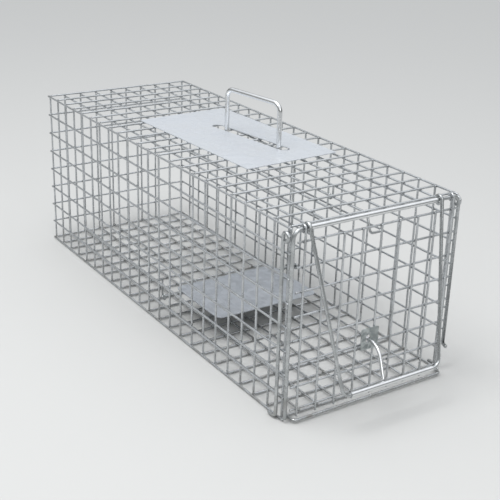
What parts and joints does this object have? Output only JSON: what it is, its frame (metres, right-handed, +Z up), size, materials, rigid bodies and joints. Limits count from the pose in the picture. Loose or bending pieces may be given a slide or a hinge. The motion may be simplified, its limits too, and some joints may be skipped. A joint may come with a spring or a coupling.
{
  "type": "live catch animal trap",
  "caption": "Single-door live catch cage trap of galvanised welded mesh, with an inward-swinging door, a lock bail, a door latch, a treadle release and a carry handle.",
  "frame": {"origin": "under the middle of the trap's box, on the plane that its bottom edge wires rest on", "axes": "+Z up, -Y out of the door end, X across the width with +X on the right as seen from the door end"},
  "size_m": [0.2178, 0.62, 0.2596],
  "materials": {
    "mesh_zinc": "satin",
    "frame_zinc": "satin",
    "bright_zinc": "semi-gloss",
    "sheet_zinc": "satin",
    "treadle_zinc": "satin",
    "dull_zinc": "matte"
  },
  "bodies": {
    "frame": {"left_side_mesh": "mesh_zinc", "right_side_mesh": "mesh_zinc", "roof_mesh": "mesh_zinc", "floor_mesh": "mesh_zinc", "rear_mesh": "mesh_zinc", "front_hoop": "frame_zinc", "left_corner_post": "frame_zinc", "right_corner_post": "frame_zinc", "sill_wire": "frame_zinc", "hinge_sleeve": "bright_zinc", "guard_plate": "sheet_zinc", "carry_handle": "bright_zinc", "axle_bracket_left": "frame_zinc", "axle_bracket_right": "frame_zinc", "trigger_guide_front": "frame_zinc", "trigger_guide_rear": "frame_zinc"},
    "door": {"door_mesh": "mesh_zinc", "door_hook_left": "mesh_zinc", "door_hook_right": "mesh_zinc", "latch_plate": "dull_zinc"},
    "latch": {"latch_hook": "bright_zinc"},
    "bail": {"lock_bail": "frame_zinc", "bail_tube": "bright_zinc"},
    "treadle": {"treadle_plate": "treadle_zinc", "treadle_axle": "frame_zinc", "axle_strap_left": "dull_zinc", "axle_strap_right": "dull_zinc", "lever_arm": "frame_zinc"},
    "trigger": {"trigger_rod": "frame_zinc"}
  },
  "joints": [
    {"name": "door_hinge", "type": "hinge", "parent": "frame", "child": "door", "pos_m": [0, -0.26047, 0.203], "axis": [1, 0, 0], "range_deg": [0, 66]},
    {"name": "latch_pivot", "type": "hinge", "parent": "door", "child": "latch", "pos_m": [-0.009, -0.26621, 0.0712], "axis": [-1, 0, 0], "range_deg": [0, 45]},
    {"name": "bail_hinge", "type": "hinge", "parent": "frame", "child": "bail", "pos_m": [0, -0.26047, 0.203], "axis": [-1, 0, 0], "range_deg": [0, 180]},
    {"name": "treadle_pivot", "type": "hinge", "parent": "frame", "child": "treadle", "pos_m": [0, 0.00173, 0.0291], "axis": [1, 0, 0], "range_deg": [-6, 0]},
    {"name": "trigger_slide", "type": "slide", "parent": "frame", "child": "trigger", "axis": [0, 1, 0], "range_m": [0, 0.0172]}
  ],
  "couplings": [
    {"joint": "trigger_slide", "follows": "treadle_pivot", "m_per_rad": -0.1639}
  ]
}
